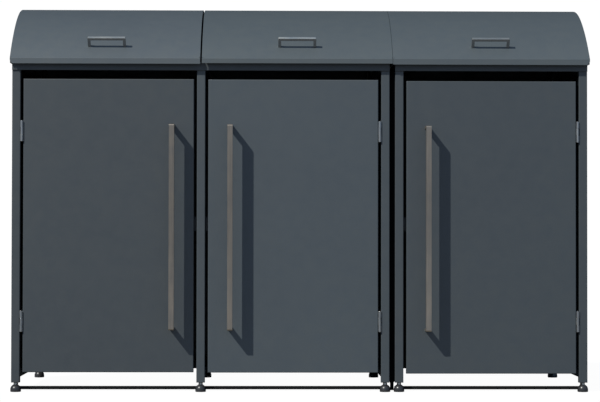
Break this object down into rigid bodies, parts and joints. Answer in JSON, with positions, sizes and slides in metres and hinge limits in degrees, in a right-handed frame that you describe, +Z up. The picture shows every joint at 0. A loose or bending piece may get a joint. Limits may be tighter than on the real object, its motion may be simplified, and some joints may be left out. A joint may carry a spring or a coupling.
{
  "type": "wheelie bin store",
  "caption": "Steel wheelie bin store in anthracite powder coat: flat doors with long pull bars, arched lids on gas struts, square tube frames on levelling feet.",
  "frame": {"origin": "middle of the overall footprint, at ground level, including the pull bars in front and the lid hinges at the back", "axes": "+X along the front to the right as seen from the front, -Y towards the front, +Z up"},
  "size_m": [2.071, 0.892, 1.4086],
  "materials": {
    "frame_coat": "fine-textured anthracite powder coat",
    "panel_coat": "fine-textured anthracite powder coat",
    "door_coat": "fine-textured anthracite powder coat",
    "lid_coat": "fine-textured anthracite powder coat",
    "handle_steel": "brushed stainless steel",
    "hinge_steel": "satin stainless steel",
    "fixing_steel": "zinc-plated steel",
    "strut_bracket_coat": "powder coat",
    "strut_black": "satin black",
    "strut_chrome": "ground and chromed",
    "catch_plastic": "moulded",
    "plug_plastic": "moulded",
    "foot_plastic": "moulded",
    "buffer_rubber": "moulded"
  },
  "bodies": {
    "frame": {"side_frame_a_left": "frame_coat", "side_frame_a_mid": "frame_coat", "side_frame_a_right": "frame_coat", "side_frame_b_left": "frame_coat", "side_frame_b_right": "frame_coat", "header_rail_a": "frame_coat", "header_rail_b": "frame_coat", "rear_top_rail_a": "frame_coat", "rear_top_rail_b": "frame_coat", "rear_bottom_rail_a": "frame_coat", "rear_bottom_rail_b": "frame_coat", "side_panel_a_left": "panel_coat", "side_panel_a_right": "panel_coat", "side_panel_b_left": "panel_coat", "side_panel_b_right": "panel_coat", "rear_panel_1": "panel_coat", "rear_panel_2": "panel_coat", "rear_panel_3": "panel_coat", "threshold_bars": "frame_coat", "door_hinge_frame_leaves": "hinge_steel", "lid_hinge_frame_leaves": "hinge_steel", "strut_frame_brackets": "strut_bracket_coat", "door_catches": "catch_plastic", "frame_bolts": "fixing_steel", "post_end_plugs": "plug_plastic", "foot_bases": "foot_plastic", "foot_studs": "fixing_steel", "foot_lock_nuts": "fixing_steel", "lid_buffers": "buffer_rubber", "unit_link_bolts": "fixing_steel"},
    "door_1": {"door_panel_1": "door_coat", "bar_handle_1": "handle_steel", "door_hinge_leaves_1": "hinge_steel", "door_strike_1": "fixing_steel"},
    "lid_1": {"lid_shell_1": "lid_coat", "lid_handle_1": "handle_steel", "lid_hinge_leaves_1": "hinge_steel", "lid_strut_bracket_1": "strut_bracket_coat"},
    "strut_tube_1": {"strut_cylinder_1": "strut_black"},
    "strut_piston_1": {"strut_rod_1": "strut_chrome"},
    "door_2": {"door_panel_2": "door_coat", "bar_handle_2": "handle_steel", "door_hinge_leaves_2": "hinge_steel", "door_strike_2": "fixing_steel"},
    "lid_2": {"lid_shell_2": "lid_coat", "lid_handle_2": "handle_steel", "lid_hinge_leaves_2": "hinge_steel", "lid_strut_bracket_2": "strut_bracket_coat"},
    "strut_tube_2": {"strut_cylinder_2": "strut_black"},
    "strut_piston_2": {"strut_rod_2": "strut_chrome"},
    "door_3": {"door_panel_3": "door_coat", "bar_handle_3": "handle_steel", "door_hinge_leaves_3": "hinge_steel", "door_strike_3": "fixing_steel"},
    "lid_3": {"lid_shell_3": "lid_coat", "lid_handle_3": "handle_steel", "lid_hinge_leaves_3": "hinge_steel", "lid_strut_bracket_3": "strut_bracket_coat"},
    "strut_tube_3": {"strut_cylinder_3": "strut_black"},
    "strut_piston_3": {"strut_rod_3": "strut_chrome"}
  },
  "joints": [
    {"name": "door_1_hinge", "type": "hinge", "parent": "frame", "child": "door_1", "pos_m": [-0.99475, -0.3739, 0.5916], "axis": [0, 0, -1], "range_deg": [0, 105]},
    {"name": "lid_1_hinge", "type": "hinge", "parent": "frame", "child": "lid_1", "pos_m": [-0.69675, 0.441, 1.181], "axis": [-1, 0, 0], "range_deg": [0, 75]},
    {"name": "strut_1_lower_pivot", "type": "hinge", "parent": "frame", "child": "strut_tube_1", "pos_m": [-0.985, 0.281, 1.061], "axis": [-1, 0, 0], "range_deg": [0, 37.6]},
    {"name": "strut_1_upper_pivot", "type": "hinge", "parent": "lid_1", "child": "strut_piston_1", "pos_m": [-0.985, 0.281, 1.301], "axis": [1, 0, 0], "range_deg": [0, 37.6]},
    {"name": "door_2_hinge", "type": "hinge", "parent": "frame", "child": "door_2", "pos_m": [0.28475, -0.3739, 0.5916], "axis": [0, 0, 1], "range_deg": [0, 105]},
    {"name": "lid_2_hinge", "type": "hinge", "parent": "frame", "child": "lid_2", "pos_m": [-0.01125, 0.441, 1.181], "axis": [-1, 0, 0], "range_deg": [0, 75]},
    {"name": "strut_2_lower_pivot", "type": "hinge", "parent": "frame", "child": "strut_tube_2", "pos_m": [0.275, 0.281, 1.061], "axis": [-1, 0, 0], "range_deg": [0, 37.6]},
    {"name": "strut_2_upper_pivot", "type": "hinge", "parent": "lid_2", "child": "strut_piston_2", "pos_m": [0.275, 0.281, 1.301], "axis": [1, 0, 0], "range_deg": [0, 37.6]},
    {"name": "door_3_hinge", "type": "hinge", "parent": "frame", "child": "door_3", "pos_m": [0.99475, -0.3739, 0.5916], "axis": [0, 0, 1], "range_deg": [0, 105]},
    {"name": "lid_3_hinge", "type": "hinge", "parent": "frame", "child": "lid_3", "pos_m": [0.683, 0.441, 1.181], "axis": [-1, 0, 0], "range_deg": [0, 75]},
    {"name": "strut_3_lower_pivot", "type": "hinge", "parent": "frame", "child": "strut_tube_3", "pos_m": [0.985, 0.281, 1.061], "axis": [-1, 0, 0], "range_deg": [0, 37.6]},
    {"name": "strut_3_upper_pivot", "type": "hinge", "parent": "lid_3", "child": "strut_piston_3", "pos_m": [0.985, 0.281, 1.301], "axis": [1, 0, 0], "range_deg": [0, 37.6]}
  ],
  "couplings": [
    {"joint": "strut_1_lower_pivot", "follows": "lid_1_hinge", "ratio": 0.5},
    {"joint": "strut_1_upper_pivot", "follows": "lid_1_hinge", "ratio": 0.5},
    {"joint": "strut_2_lower_pivot", "follows": "lid_2_hinge", "ratio": 0.5},
    {"joint": "strut_2_upper_pivot", "follows": "lid_2_hinge", "ratio": 0.5},
    {"joint": "strut_3_lower_pivot", "follows": "lid_3_hinge", "ratio": 0.5},
    {"joint": "strut_3_upper_pivot", "follows": "lid_3_hinge", "ratio": 0.5}
  ]
}
